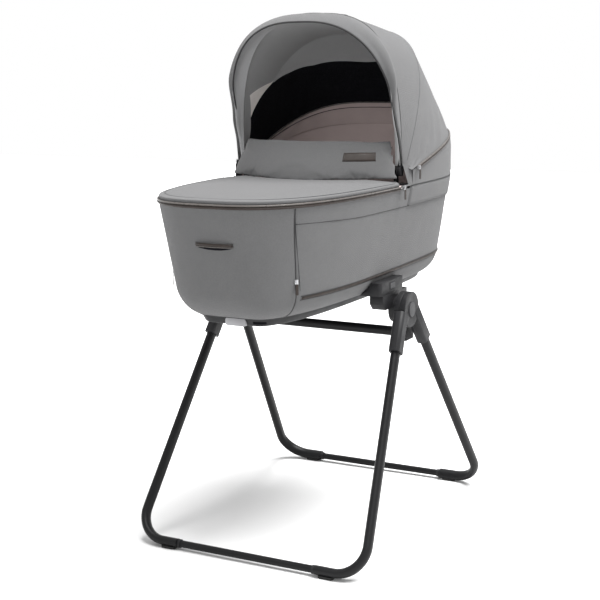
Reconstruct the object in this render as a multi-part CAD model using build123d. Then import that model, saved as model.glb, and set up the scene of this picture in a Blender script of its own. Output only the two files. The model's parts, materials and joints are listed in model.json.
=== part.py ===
from build123d import *
import os
from math import atan2, cos, degrees, pi, radians, sin, sqrt

os.makedirs("parts", exist_ok=True)

# Frame: +Z up, X across the bassinet, -Y the foot end, +Y the head end. Floor at z = 0. Millimetres.

# Bassinet tub: a superellipse plan, a little wider towards the head, whose wall leans in going down.
RIM_Z = 783
RIM_HALF_LENGTH = 443
RIM_HALF_WIDTH = 220
HEAD_TAPER = 0.057
FOOT_EXPONENT = 3.0
HEAD_EXPONENT = 3.4
WALL_LEAN = 0.185
HEAD_UPRIGHT = 0.3
COVER_BOTTOM_Z = 545
CORNER_TOP_Z = 601
CORNER_RADIUS = 58
PAN_BOTTOM_Z = 528
PAN_TOP_Z = 583
FACETS = 24
RIM_STEPS = 2000

# Layers of the tub wall, as distances in from the outer face of the fabric.
COVER = (0, 3.0)
RIM_FRAME = (3.5, 6.0)
WALL_BOARD = (6.2, 9.0)
LINER = (10.0, 15.5)
PAN_WALL = (3.3, 6.0)
MATTRESS_INSET = 17.5
MATTRESS_TOP_Z = 577
FOOT_TRIM_X = 10

# Canopy: hoops and panels are arches in planes through one hinge line.
HINGE_Y = 46
HINGE_Z = 818
FABRIC = 3.0
EYE_RADIUS = 12
VISOR_ANGLE, VISOR_REACH, VISOR_HALF_WIDTH = -15.0, 338, 203
FRONT_ANGLE, FRONT_REACH, FRONT_HALF_WIDTH = -3.0, 345, 208
MID_ANGLE, MID_REACH, MID_HALF_WIDTH = 33.0, 375, 214
ZIP_ANGLE, ZIP_REACH, ZIP_HALF_WIDTH = 77.8, 401, 227
BOW_WIDTH_ANGLE = 0.7
BOW_DEPTH = 5.0
ARCH_STEPS = 18
CANOPY_PIN_RADIUS = 4

# Apron over the foot half, and the wind flap that stands on it.
APRON_Z = (787.4, 795)
FLAP_FOOT_Y = -80
FLAP_END_Y = 17
FLAP_HALF_WIDTH = 206
FLAP_TOP_HALF_WIDTH = 186
FLAP_TOP_Z = 884
FLAP_TOP_FOOT_Y = -12
FLAP_TOP_END_Y = 42
FLAP_THICK = 8
FLAP_STEPS = 12

# Stand: two leg frames crossing in side view at a pivot on each side.
PIVOT_Y = 29
PIVOT_Z = 512
LEG_TOP_Z = 510
FLOOR_AXIS_Z = 13.5
LEG_HALF_SPREAD_TOP = 227
LEG_HALF_SPREAD_FOOT = 280
FRONT_LEG_Y = (0, -317)
REAR_LEG_Y = (58, 387)
LEG_SECTION = (10.0, 13.5)
LEG_WALL = 1.6
BEND_RADIUS = 62
SLEEVE_END_X = 170
FLOOR_TUBE_RADIUS = 8
DISC_RADIUS = 40
HOUSING_X = (214, 240)
HOUSING_SPLIT_X = 227
PIN_RADIUS = 6
BUTTON_RADIUS = 17
BUTTON_POCKET_X = 234.6
CROSS_TUBE_Y = 78
CROSS_TUBE_Z = 448
CROSS_TUBE_RADIUS = 11
CROSS_TUBE_WALL = 1.6
CROSS_TUBE_HALF_LENGTH = 206

# Receivers on the hubs, and the tongues under the tub that drop into them.
RECEIVER_X = (173, 205)
RECEIVER_Y = (-50, 83)
RECEIVER_Z = (519, 552)
TONGUE_X = (176, 194.6)
TONGUE_Y = (-12, 46)
TONGUE_BOTTOM_Z = 526
TONGUE_PLAY = 0.4

# Zip sliders, each with a puller that swings on its nose.
RIM_ZIP_END_Y = 12
CANOPY_ZIP_END_Y = 82
CORNER_ZIP_Z = 624
PULLER_PIVOT_DROP = 1.6
PULLER_THICKNESS = 1.8
PULLER_LENGTH = 22

RUNNING_FIT = 0.05
GAP = 0.3


def save(node, shape):
    """Write one named node."""
    shape.label = node
    export_step(shape, f"parts/{node}.step")


def mirrored(shape):
    """The left-hand twin of a right-hand piece."""
    return mirror(shape, about=Plane.YZ)


def save_pair(name, right):
    save(f"{name}_right", right)
    save(f"{name}_left", mirrored(right))


def span_box(x, y, z):
    """A box from its low and high limits on each axis."""
    size = [high - low for low, high in (x, y, z)]
    middle = [(low + high) / 2 for low, high in (x, y, z)]
    return Pos(*middle) * Box(*size)


def rod(x, y, z, radius):
    """A round bar along X between two x values."""
    return Pos((x[0] + x[1]) / 2, y, z) * Rot(0, 90, 0) * Cylinder(radius, x[1] - x[0])


# ---- faceted shells ----

def panel_faces(a, b, c, d):
    """A four-cornered patch: one flat face, or two triangles where its corners aren't in one plane."""
    normal = (b - a).cross(c - a).normalized()
    if abs(normal.dot(d - a)) < 1e-5:
        return [Face(Wire.make_polygon([a, b, c, d]))]
    return [Face(Wire.make_polygon([a, b, c])), Face(Wire.make_polygon([a, c, d]))]


def stack(rows, ring=False):
    """A closed solid through rows of matching points; a ring joins the last row to the first."""
    rows = [[Vector(*point) for point in row] for row in rows]
    pairs = list(zip(rows, rows[1:] + rows[:1])) if ring else list(zip(rows, rows[1:]))
    faces = []
    for low, high in pairs:
        for i in range(len(low)):
            j = (i + 1) % len(low)
            faces += panel_faces(low[i], low[j], high[j], high[i])
    if not ring:
        faces += [Face(Wire.make_polygon(rows[0])), Face(Wire.make_polygon(rows[-1]))]
    return Solid(Shell(faces)).fix()


# ---- tub ----

def wall_inset(z):
    """How far in the wall stands at height z, measured from the rim."""
    lean = WALL_LEAN * max(0, RIM_Z - z)
    if z >= CORNER_TOP_Z:
        return lean
    drop = min(CORNER_TOP_Z - z, CORNER_RADIUS)
    return lean + CORNER_RADIUS - sqrt(CORNER_RADIUS**2 - drop**2)


def outline_point(angle):
    """A point on the rim's superellipse, which is a little wider towards the head."""
    across = cos(angle)
    along = sin(angle)
    power = 2 / (HEAD_EXPONENT if along > 0 else FOOT_EXPONENT)
    y = RIM_HALF_LENGTH * abs(along) ** power * (1 if along > 0 else -1)
    half_width = RIM_HALF_WIDTH * (1 + HEAD_TAPER * y / RIM_HALF_LENGTH)
    return half_width * abs(across) ** power * (1 if across > 0 else -1), y


def rim_supports():
    """How far out the rim reaches in each facet's direction."""
    rim = [outline_point(2 * pi * i / RIM_STEPS) for i in range(RIM_STEPS)]
    supports = []
    for i in range(FACETS):
        turn = 2 * pi * i / FACETS
        supports.append(max(x * cos(turn) + y * sin(turn) for x, y in rim))
    return supports


RIM_SUPPORTS = rim_supports()


def outline(z, inset):
    """The tub's plan outline at height z, with every facet moved in by inset; the head end leans in less."""
    points = []
    step = 2 * pi / FACETS
    supports = []
    for i in range(FACETS):
        upright = HEAD_UPRIGHT * max(0, sin(step * i))
        supports.append(RIM_SUPPORTS[i] - wall_inset(z) * (1 - upright) - inset)
    for i in range(FACETS):
        reach, after = supports[i], supports[(i + 1) % FACETS]
        turn = step * i
        slide = (after - reach * cos(step)) / sin(step)
        points.append((reach * cos(turn) - slide * sin(turn), reach * sin(turn) + slide * cos(turn), z))
    return points


def wall_rows(inset, low, high):
    heights = [low, *[z for z in (552, 566, 583, CORNER_TOP_Z) if low + 4 < z < high - 4], high]
    return [outline(z, inset) for z in heights]


def tub(inset, low, high):
    """The solid inside the wall, moved in by inset, between two heights."""
    return stack(wall_rows(inset, low, high))


def tub_shell(layer, low, high):
    return stack(wall_rows(layer[0], low, high) + wall_rows(layer[1], low, high)[::-1], ring=True)


def make_base_pan():
    rows = pan_base_rows(0)
    rows += wall_rows(PAN_WALL[0], COVER_BOTTOM_Z, PAN_TOP_Z)
    rows += wall_rows(PAN_WALL[1], COVER_BOTTOM_Z, PAN_TOP_Z)[::-1]
    rows += [outline(PAN_BOTTOM_Z + 4, 6)]
    return stack(rows)


def pan_base_rows(out):
    """The pan's lower edge, grown outwards."""
    return [outline(PAN_BOTTOM_Z, 6 - out), outline(PAN_BOTTOM_Z + 5, -2 - out)]


def make_vent_slider():
    """The oval thumb tab at the foot end of the pan."""
    front = RIM_HALF_LENGTH - wall_inset(COVER_BOTTOM_Z)
    tab_x = (FOOT_TRIM_X - 24, FOOT_TRIM_X + 24)
    tab = span_box(tab_x, (-front + 2, -front + 16), (PAN_BOTTOM_Z, COVER_BOTTOM_Z - 0.8))
    tab = fillet(tab.edges().filter_by(Axis.Y), 5.5)
    return tab - stack(pan_base_rows(0.5) + [outline(COVER_BOTTOM_Z, PAN_WALL[0] - 0.5)])


def make_cover_panels():
    """Foot, head and two side panels, cut from one shell at the corner seams."""
    shell = tub_shell(COVER, COVER_BOTTOM_Z, RIM_Z - 5)
    panels = {}
    for name, way, seam_y in (("foot_panel", -1, 366), ("head_panel", 1, 372)):
        half = [(60, 250), (158, seam_y), (240, 463), (240, 600)]
        plan = half + [(-x, y) for x, y in reversed(half)]
        points = [(x, way * y) for x, y in plan]
        cutter = extrude(make_face(Polyline(*points, close=True)), amount=900, dir=(0, 0, 1))
        panels[name] = shell & cutter
        shell = shell - cutter
    panels["side_panel_right"] = shell & span_box((0, 400), (-600, 600), (0, 900))
    panels["side_panel_left"] = shell & span_box((-400, 0), (-600, 600), (0, 900))
    return panels


def make_collar():
    """The proud fabric band round the head half, just under the rim."""
    low, high = 746, RIM_Z - 5.2
    outer = [outline(low, -3.5), outline(high, -3.5)]
    inner = [outline(z, -0.3) for z in (low, high)]
    return stack(outer + inner[::-1], ring=True) & span_box((-400, 400), (60, 600), (0, 900))


def make_rim_zip():
    low, high = RIM_Z - 4.6, RIM_Z + 4
    rows = [outline(low, -2), outline(high, -2), outline(high, 3), outline(low, 3)]
    return stack(rows, ring=True)


def make_foot_handle():
    """A flat strap bowed out from the foot panel, sewn down at both ends."""
    wall_y = -(RIM_HALF_LENGTH - wall_inset(703))
    outer = ThreePointArc((-46, wall_y - 1.4), (0, wall_y - 12), (46, wall_y - 1.4))
    inner = ThreePointArc((38, wall_y - 1.4), (0, wall_y - 9.2), (-38, wall_y - 1.4))
    ends = [Line(outer @ 1, inner @ 0), Line(inner @ 1, outer @ 0)]
    strap = extrude(make_face([outer, inner, *ends]), amount=10, dir=(0, 0, 1))
    return Pos(FOOT_TRIM_X, 0, 698) * strap


# ---- canopy ----

def arch_point(turn, angle, reach, half_width, exponent, root):
    """A point on an arch in the plane that leans back by angle from upright."""
    power = 2 / exponent
    x = half_width * abs(cos(turn)) ** power * (1 if cos(turn) > 0 else -1)
    out = root + (reach - root) * abs(sin(turn)) ** power
    lean = radians(angle)
    return x, HINGE_Y + out * sin(lean), HINGE_Z + out * cos(lean)


def arch_row(angle, reach, half_width, exponent, thick, root=EYE_RADIUS):
    """The closed outline of an arch: out along its outer side and back along its inner side."""
    turns = [pi * i / ARCH_STEPS for i in range(ARCH_STEPS + 1)]
    outer = [arch_point(t, angle, reach, half_width, exponent, root) for t in turns]
    inner = [arch_point(t, angle, reach - thick, half_width - thick, exponent, root) for t in reversed(turns)]
    return outer + inner


def between(start, end, share):
    return start + (end - start) * share


def arch_panel(*arches):
    """A fabric panel through arches given as (angle, reach, half width, exponent)."""
    return stack([arch_row(*arch, FABRIC) for arch in arches])


def make_bow(angle, reach, half_width, exponent):
    """A flat hoop just under the fabric, with an eye at each end that turns on the hinge pin."""
    under = FABRIC + 3.5
    sides = (angle - BOW_WIDTH_ANGLE, angle + BOW_WIDTH_ANGLE)
    size = (reach - under, half_width - under, exponent, BOW_DEPTH, 7)
    hoop = stack([arch_row(side, *size) for side in sides])
    eye_x = (half_width - under - 4, half_width - under)
    eye = rod(eye_x, HINGE_Y, HINGE_Z, EYE_RADIUS - 1)
    eye -= rod(eye_x, HINGE_Y, HINGE_Z, CANOPY_PIN_RADIUS + RUNNING_FIT)
    return hoop + eye + mirrored(eye)


def make_canopy_hinge():
    """A bracket on the rim inside the canopy, with the pin that both bows turn on."""
    plate_x = (190, 193)
    y = (HINGE_Y - 5, HINGE_Y + 16)
    foot = span_box((plate_x[0], 216), y, (RIM_Z + 4.4, RIM_Z + 7.4))
    plate = span_box(plate_x, y, (RIM_Z + 4.4, HINGE_Z)) + rod(plate_x, HINGE_Y, HINGE_Z, EYE_RADIUS - 1)
    return foot + plate + rod((plate_x[0], 208), HINGE_Y, HINGE_Z, CANOPY_PIN_RADIUS)


def make_hood_wall():
    """The fixed fabric wall round the head end, from the rim up to the canopy zip."""
    bands = ((RIM_Z + 4.3, -3.5), (850, -3.5), (925, 5.0))
    outer = [outline(z, inset) for z, inset in bands]
    inner = [outline(z, inset + FABRIC) for z, inset in bands]
    lean = radians(ZIP_ANGLE)
    near, far = 20, 700
    top = [(HINGE_Y + reach, HINGE_Z + reach * cos(lean) / sin(lean) - 0.6) for reach in (far, near)]
    profile = make_face(Plane.YZ * Polyline(*top, (HINGE_Y + near, 700), (HINGE_Y + far, 700), close=True))
    below_zip = extrude(profile, amount=400, both=True)
    return stack(outer + inner[::-1], ring=True) & below_zip


def make_carry_handle():
    """A webbing handle lying over the top of the front bow."""
    top = HINGE_Z + FRONT_REACH * cos(radians(FRONT_ANGLE))
    outer = ThreePointArc((-78, 0, top - 4.5), (0, 0, top + 5.5), (78, 0, top - 4.5))
    inner = ThreePointArc((70, 0, top - 4.0), (0, 0, top + 3.0), (-70, 0, top - 4.0))
    ends = [Line(outer @ 1, inner @ 0), Line(inner @ 1, outer @ 0)]
    middle_y = HINGE_Y + FRONT_REACH * sin(radians(FRONT_ANGLE))
    strap = extrude(make_face([outer, inner, *ends]), amount=12, dir=(0, 1, 0), both=True)
    return Pos(0, middle_y, 0) * strap


# ---- apron and wind flap ----

def flap_y(x, foot_y, end_y, half_width):
    """The flap's plan line: it bows towards the foot in the middle."""
    return foot_y + (end_y - foot_y) * (x / half_width) ** 2


def flap_line(foot_y, end_y, half_width, reach, offset=0.0):
    """Points along the flap's plan line, from left to right."""
    xs = [between(-reach, reach, i / FLAP_STEPS) for i in range(FLAP_STEPS + 1)]
    return [(x, flap_y(x, foot_y, end_y, half_width) + offset) for x in xs]


def make_apron():
    slab = stack([outline(APRON_Z[0], 2.0), outline(APRON_Z[1], 5.0)])
    rear = flap_line(FLAP_FOOT_Y, FLAP_END_Y, FLAP_HALF_WIDTH, 240, FLAP_THICK + 1)
    plan = [*rear, (300, rear[-1][1]), (300, -700), (-300, -700), (-300, rear[0][1])]
    return slab & extrude(make_face(Polyline(*plan, close=True)), amount=900, dir=(0, 0, 1))


def flap_row(z, foot_y, end_y, half_width):
    front = flap_line(foot_y, end_y, half_width, half_width)
    back = flap_line(foot_y, end_y, half_width, half_width, FLAP_THICK)
    return [(x, y, z) for x, y in front + back[::-1]]


def make_wind_flap():
    low = flap_row(APRON_Z[1] + GAP, FLAP_FOOT_Y, FLAP_END_Y, FLAP_HALF_WIDTH)
    high = flap_row(FLAP_TOP_Z, FLAP_TOP_FOOT_Y, FLAP_TOP_END_Y, FLAP_TOP_HALF_WIDTH)
    return stack([low, high])


def make_flap_label():
    """A plain sewn-on patch, right of the middle of the flap."""
    share = 0.6
    z = between(APRON_Z[1], FLAP_TOP_Z, share)
    middle_x = 124
    foot_y = between(FLAP_FOOT_Y, FLAP_TOP_FOOT_Y, share)
    end_y = between(FLAP_END_Y, FLAP_TOP_END_Y, share)
    half_width = between(FLAP_HALF_WIDTH, FLAP_TOP_HALF_WIDTH, share)
    y = flap_y(middle_x, foot_y, end_y, half_width)
    turn = degrees(atan2(2 * (end_y - foot_y) * middle_x / half_width**2, 1))
    lean = degrees(atan2(FLAP_TOP_FOOT_Y - FLAP_FOOT_Y, FLAP_TOP_Z - APRON_Z[1])) * 0.8
    patch = Rot(0, 0, turn) * (Rot(-lean, 0, 0) * Box(66, 1.4, 18))
    return Pos(middle_x, y - 2.6, z) * patch


# ---- stand ----

def leg_ends(leg_y):
    top = Vector(LEG_HALF_SPREAD_TOP, leg_y[0], LEG_TOP_Z)
    corner = Vector(LEG_HALF_SPREAD_FOOT, leg_y[1], FLOOR_AXIS_Z)
    return top, corner, (corner - top).normalized()


def leg_plane(leg_y, distance):
    """A plane square to the leg, some distance below its top, with X across the stand."""
    top, _, along = leg_ends(leg_y)
    across = Vector(-1, 0, 0).cross(along).normalized()
    return Plane(origin=top + along * distance, x_dir=along.cross(across).normalized(), z_dir=along)


def make_leg(leg_y):
    """An oval tube: down the leg, round the floor bend, and in to the sleeve that takes the floor tube."""
    _, corner, _ = leg_ends(leg_y)
    section = leg_plane(leg_y, 42)
    end = Vector(SLEEVE_END_X, leg_y[1], FLOOR_AXIS_Z)
    path = FilletPolyline(section.origin, corner, end, radius=BEND_RADIUS)
    outer = sweep(section * Ellipse(*LEG_SECTION), path=path)
    bore = sweep(section * Ellipse(LEG_SECTION[0] - LEG_WALL, LEG_SECTION[1] - LEG_WALL), path=path)
    return outer - bore


def housing_arm(leg_y):
    """The solid that a leg's upper end is held in."""
    return extrude(leg_plane(leg_y, 4) * RectangleRounded(26, 36, 9), amount=92)


def leg_socket(leg_y):
    return extrude(leg_plane(leg_y, 41) * Ellipse(LEG_SECTION[0] + 0.1, LEG_SECTION[1] + 0.1), amount=80)


def make_housing(leg_y, own_x, other_x):
    """Half of the pivot disc, with the arm that holds the leg; it clears the other half's disc."""
    arm = housing_arm(leg_y) & span_box((HOUSING_X[0], 300), (-400, 400), (0, 700))
    arm -= rod(other_x, PIVOT_Y, PIVOT_Z, DISC_RADIUS + 0.8)
    disc = fillet(rod(own_x, PIVOT_Y, PIVOT_Z, DISC_RADIUS).edges().filter_by(GeomType.CIRCLE), 1.2)
    body = arm + disc
    body -= rod(own_x, PIVOT_Y, PIVOT_Z, PIN_RADIUS + RUNNING_FIT)
    return body - leg_socket(leg_y)


def make_boss():
    """The round inner boss that carries the receiver."""
    x = (195, HOUSING_X[0] - 0.3)
    disc = fillet(rod(x, PIVOT_Y, PIVOT_Z, 30).edges().filter_by(GeomType.CIRCLE), 1.5)
    return disc - rod(x, PIVOT_Y, PIVOT_Z, PIN_RADIUS + RUNNING_FIT)


def make_receiver():
    """The cup on each hub that the bassinet's tongue drops into."""
    low_y, high_y = RECEIVER_Y
    low_z, high_z = RECEIVER_Z
    slope = 14
    outline = [(low_y, high_z), (high_y, high_z), (high_y, low_z + slope), (high_y - slope, low_z),
               (low_y + slope, low_z), (low_y, low_z + slope)]
    side = make_face(Plane.YZ * Polyline(*outline, close=True))
    block = Pos(RECEIVER_X[0], 0, 0) * extrude(side, amount=RECEIVER_X[1] - RECEIVER_X[0], dir=(1, 0, 0))
    block -= rod((194.9, 230), PIVOT_Y, PIVOT_Z, 30.2)
    return block - span_box(TONGUE_X, TONGUE_Y, (TONGUE_BOTTOM_Z - 1, 600))


def make_adapter():
    """The block under the tub that drops onto the receiver, with its tongue and button pocket."""
    block = span_box((150, 205), (-61, 63), (RECEIVER_Z[1] + GAP, 582))
    block = fillet(block.edges().filter_by(Axis.Z), 8)
    block -= tub(-0.2, COVER_BOTTOM_Z - 0.3, 640)
    x, y = ((low + TONGUE_PLAY, high - TONGUE_PLAY) for low, high in (TONGUE_X, TONGUE_Y))
    tongue = span_box(x, y, (TONGUE_BOTTOM_Z, 560))
    return block + tongue - span_box((198, 210), (-13, 15), (561, 577))


def make_floor_tube(leg_y):
    reach = SLEEVE_END_X + 24
    return rod((-reach, reach), leg_y[1], FLOOR_AXIS_Z, FLOOR_TUBE_RADIUS)


def make_ferrules(leg_y):
    """The stepped collars that close each sleeve round the floor tube."""
    x = (SLEEVE_END_X - 7, SLEEVE_END_X - 0.2)
    ring = rod(x, leg_y[1], FLOOR_AXIS_Z, 9.6) - rod(x, leg_y[1], FLOOR_AXIS_Z, FLOOR_TUBE_RADIUS + 0.05)
    return Compound(children=[ring, mirrored(ring)])


def make_feet(leg_y, leg):
    """Rubber pads under the floor sleeves, one at each corner."""
    pad = span_box((178, 212), (leg_y[1] - 10, leg_y[1] + 10), (0, FLOOR_AXIS_Z - 8))
    pad = fillet(pad.edges().filter_by(Axis.Z), 6) - Pos(0, 0, -0.1) * leg
    pad = pad.solids().sort_by(Axis.Z)[0]
    return Compound(children=[pad, mirrored(pad)])


def make_cross_tube():
    x = (-CROSS_TUBE_HALF_LENGTH, CROSS_TUBE_HALF_LENGTH)
    outer = rod(x, CROSS_TUBE_Y, CROSS_TUBE_Z, CROSS_TUBE_RADIUS)
    return outer - rod(x, CROSS_TUBE_Y, CROSS_TUBE_Z, CROSS_TUBE_RADIUS - CROSS_TUBE_WALL)


def make_cross_bracket():
    """A flanged cup that joins the cross tube to the rear housing."""
    y, z = (CROSS_TUBE_Y - 18, CROSS_TUBE_Y + 24), (CROSS_TUBE_Z - 17, CROSS_TUBE_Z + 17)
    flange = span_box((206.2, 213.4), y, z)
    cup = rod((196, 208), CROSS_TUBE_Y, CROSS_TUBE_Z, 14) - rod((190, 206), CROSS_TUBE_Y, CROSS_TUBE_Z, 11.05)
    return flange + cup


def make_stand():
    own = {"front": (HOUSING_SPLIT_X + 0.2, HOUSING_X[1]), "rear": (HOUSING_X[0], HOUSING_SPLIT_X - 0.2)}
    for name, other, leg_y in (("front", "rear", FRONT_LEG_Y), ("rear", "front", REAR_LEG_Y)):
        housing = make_housing(leg_y, own[name], own[other])
        if name == "front":
            housing -= rod((BUTTON_POCKET_X, 260), PIVOT_Y, PIVOT_Z, BUTTON_RADIUS + 0.3)
        save_pair(f"{name}_housing", housing)
        leg = make_leg(leg_y)
        save_pair(f"{name}_leg", leg)
        save(f"{name}_floor_tube", make_floor_tube(leg_y))
        save(f"{name}_ferrules", make_ferrules(leg_y))
        save(f"{name}_feet", make_feet(leg_y, leg))
    pin = rod((195.5, BUTTON_POCKET_X - 0.4), PIVOT_Y, PIVOT_Z, PIN_RADIUS)
    save("pivot_pins", Compound(children=[pin, mirrored(pin)]))
    button = rod((237.4, 242), PIVOT_Y, PIVOT_Z, BUTTON_RADIUS)
    button = fillet(button.edges().filter_by(GeomType.CIRCLE), 1.2)
    save_pair("fold_button", button)
    boss = make_boss()
    save("hub_bosses", Compound(children=[boss, mirrored(boss)]))
    save_pair("receiver", make_receiver())
    save("cross_tube", make_cross_tube())
    bracket = make_cross_bracket()
    save("cross_tube_brackets", Compound(children=[bracket, mirrored(bracket)]))


def make_bassinet():
    save("base_pan", make_base_pan())
    save("wall_board", tub_shell(WALL_BOARD, PAN_TOP_Z + 1, RIM_Z - 1))
    save("rim_frame", tub_shell(RIM_FRAME, RIM_Z - 21, RIM_Z - 1))
    for name, panel in make_cover_panels().items():
        save(name, panel)
    save("head_collar", make_collar())
    save("liner", tub_shell(LINER, 547, RIM_Z + 3))
    save("mattress", tub(MATTRESS_INSET, COVER_BOTTOM_Z + 1, MATTRESS_TOP_Z))
    save("rim_zip", make_rim_zip())
    save("foot_handle", make_foot_handle())
    save_pair("adapter", make_adapter())
    save_pair("adapter_button", fillet(span_box((201.4, 206.4), (-12, 14), (562, 576)).edges(), 1.0))
    save("vent_slider", make_vent_slider())


def make_canopy():
    front = (FRONT_ANGLE, FRONT_REACH, FRONT_HALF_WIDTH, 3.05)
    mid = (MID_ANGLE, MID_REACH, MID_HALF_WIDTH, 3.0)
    rear = (ZIP_ANGLE, ZIP_REACH, ZIP_HALF_WIDTH, HEAD_EXPONENT)
    visor = (VISOR_ANGLE, VISOR_REACH, VISOR_HALF_WIDTH, 2.8)
    brow = (between(VISOR_ANGLE, FRONT_ANGLE, 0.4), 345, 212, 2.9)
    shoulder = (55, 380, 221, 3.3)
    save("visor", arch_panel(visor, brow, front))
    save("canopy_front_panel", arch_panel((front[0] + 0.1, *front[1:]), mid))
    save("canopy_rear_panel", arch_panel((mid[0] + 0.1, *mid[1:]), shoulder, rear))
    save("front_bow", make_bow(*front))
    save("mid_bow", make_bow(*mid))
    hinge = make_canopy_hinge()
    save("canopy_hinges", Compound(children=[hinge, mirrored(hinge)]))
    save("hood_wall", make_hood_wall())
    save("carry_handle", make_carry_handle())


# ---- zips ----

def zip_place(name):
    """Where each right-hand zip slider sits: its place on the fabric and the way that it faces."""
    facet_start = outline(CORNER_ZIP_Z, -1.2)[-3]
    facet_turn = -2 * 360 / FACETS
    slide = 36
    corner_x = facet_start[0] - slide * sin(radians(facet_turn))
    corner_y = facet_start[1] + slide * cos(radians(facet_turn))
    places = {
        "rim": (RIM_HALF_WIDTH + 5, RIM_ZIP_END_Y, RIM_Z, 0),
        "canopy": (RIM_HALF_WIDTH + 11, CANOPY_ZIP_END_Y, HINGE_Z + 4, 0),
        "corner": (corner_x, corner_y, CORNER_ZIP_Z, facet_turn),
    }
    x, y, z, facing = places[name]
    return Pos(x, y, z) * Rot(0, 0, facing)


def make_zips():
    """Sliders with a nose pin, and the pullers that hang from them."""
    for name in ("rim", "canopy", "corner"):
        place = zip_place(name)
        slider = fillet(span_box((0.4, 4.6), (-4, 4), (-3, 7)).edges().filter_by(Axis.X), 1.5)
        slider = place * (slider + span_box((4.6, 6.6), (-1.5, 1.5), (0, 6)))
        save(f"{name}_zip_sliders", Compound(children=[slider, mirrored(slider)]))
        top = -PULLER_PIVOT_DROP - 0.4
        tab = span_box((4.9, 4.9 + PULLER_THICKNESS), (-3, 3), (top - PULLER_LENGTH, top))
        tab = fillet(tab.edges().filter_by(Axis.X), 2)
        save_pair(f"{name}_puller", place * tab)


make_stand()
make_bassinet()
make_canopy()
save("apron", make_apron())
save("wind_flap", make_wind_flap())
save("flap_label", make_flap_label())
make_zips()
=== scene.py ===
import json
import math
import bmesh
import bpy
import numpy as np
from mathutils import Matrix, Vector, noise


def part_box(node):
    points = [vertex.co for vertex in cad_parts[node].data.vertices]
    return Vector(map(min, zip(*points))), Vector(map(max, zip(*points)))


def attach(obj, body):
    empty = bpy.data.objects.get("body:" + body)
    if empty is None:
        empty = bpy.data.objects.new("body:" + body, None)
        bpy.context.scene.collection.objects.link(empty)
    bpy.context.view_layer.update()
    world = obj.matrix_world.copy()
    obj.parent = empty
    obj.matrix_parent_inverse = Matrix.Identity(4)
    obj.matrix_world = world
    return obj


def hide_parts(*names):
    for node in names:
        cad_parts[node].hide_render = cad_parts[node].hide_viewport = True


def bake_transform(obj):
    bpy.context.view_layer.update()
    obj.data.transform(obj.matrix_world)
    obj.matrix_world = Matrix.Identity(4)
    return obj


# Looks of the bassinet on its stand. Lengths here are millimetres in the CAD's frame; meshes are metres.
MM = 0.001

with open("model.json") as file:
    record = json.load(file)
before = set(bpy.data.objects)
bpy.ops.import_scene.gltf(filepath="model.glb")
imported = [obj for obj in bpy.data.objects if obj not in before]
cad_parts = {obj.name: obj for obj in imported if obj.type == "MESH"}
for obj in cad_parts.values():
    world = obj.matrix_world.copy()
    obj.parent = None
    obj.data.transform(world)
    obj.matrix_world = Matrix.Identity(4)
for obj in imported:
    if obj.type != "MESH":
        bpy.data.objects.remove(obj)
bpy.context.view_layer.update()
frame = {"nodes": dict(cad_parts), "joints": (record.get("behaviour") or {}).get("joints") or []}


def box(node):
    low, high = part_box(node)
    return low / MM, high / MM


def joint(name):
    return next(j for j in frame["joints"] if j["name"] == name)


# ---- driving dimensions, read from the CAD boxes ----

RIM_LOW, RIM_HIGH = box("rim_zip")
RIM_Z = RIM_HIGH.z - 4
HALF_LENGTH = RIM_HIGH.y - 2
HALF_WIDTH = 220
HEAD_TAPER = 0.057
FOOT_EXPONENT, HEAD_EXPONENT = 3.05, 3.9
CORNER_FULLNESS = 0.08
WALL_LEAN = 0.185
HEAD_UPRIGHT = 0.3
CORNER_RADIUS = 58
COVER_BOTTOM = box("foot_panel")[0].z
CORNER_TOP = COVER_BOTTOM + 56
PAN_BOTTOM = box("base_pan")[0].z
SEAM_X = 159

HINGE_Y, HINGE_Z = (value / MM for value in joint("canopy_mid_fold")["pos_m"][1:])
EYE_RADIUS = 12
HEM = (-15.0, 338, 203, 2.8)
BROW = (-10.2, 345, 209, 2.9)
FRONT = (-3.0, 345, 208, 3.05)
MID = (33.0, 375, 214, 3.0)
SHOULDER = (55.0, 375, 218, 3.1)
ZIP = (77.8, 401, 227, 3.7)
LINING_TOP_ANGLE = 49
LINING_HEAD_ANGLE = 68.3

APRON_LOW, APRON_HIGH = box("apron")
FLAP_LOW, FLAP_HIGH = box("wind_flap")
FLAP_FOOT_Y, FLAP_END_Y = FLAP_LOW.y, 17
FLAP_TOP_FOOT_Y, FLAP_TOP_END_Y = -12, 42
FLAP_TOP_HALF_WIDTH = 186

# Linear colours.
GREY = (0.090, 0.090, 0.0915)
# The grey lining is the outer grey made three times lighter: painted light for the dim inside of the canopy.
GREY_LINING_PAINTED_LIGHT = (0.27, 0.27, 0.274)
# The taupe hue is the lining's own; its lightness is raised as painted light for the dim interior.
TAUPE = (0.42, 0.345, 0.335)
BEIGE = (0.70, 0.66, 0.63)
MESH_BLACK = (0.004, 0.004, 0.005)
SEAM_DARK = (0.022, 0.022, 0.023)
BROWN = (0.021, 0.0155, 0.013)
PIPING = (0.085, 0.077, 0.072)

FLOOR_SHADE = 0.62
FLOOR_HALF_SIZE = 9
KEY_ENERGY = 8.6
KEY_SOFTNESS = 45
KEY_TILT = (-4, 18)
FILL_POWER = 110
FILL_CONE = 17
FILL_PLACE = (0.55, -2.1, 1.35)
CAMERA_ANGLES = (27.781, 10.718, -0.675)
CAMERA_PLACE = (1.3215, -2.5584, 1.0653)
CAMERA_LENS = 76.61


# ---- materials ----

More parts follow.
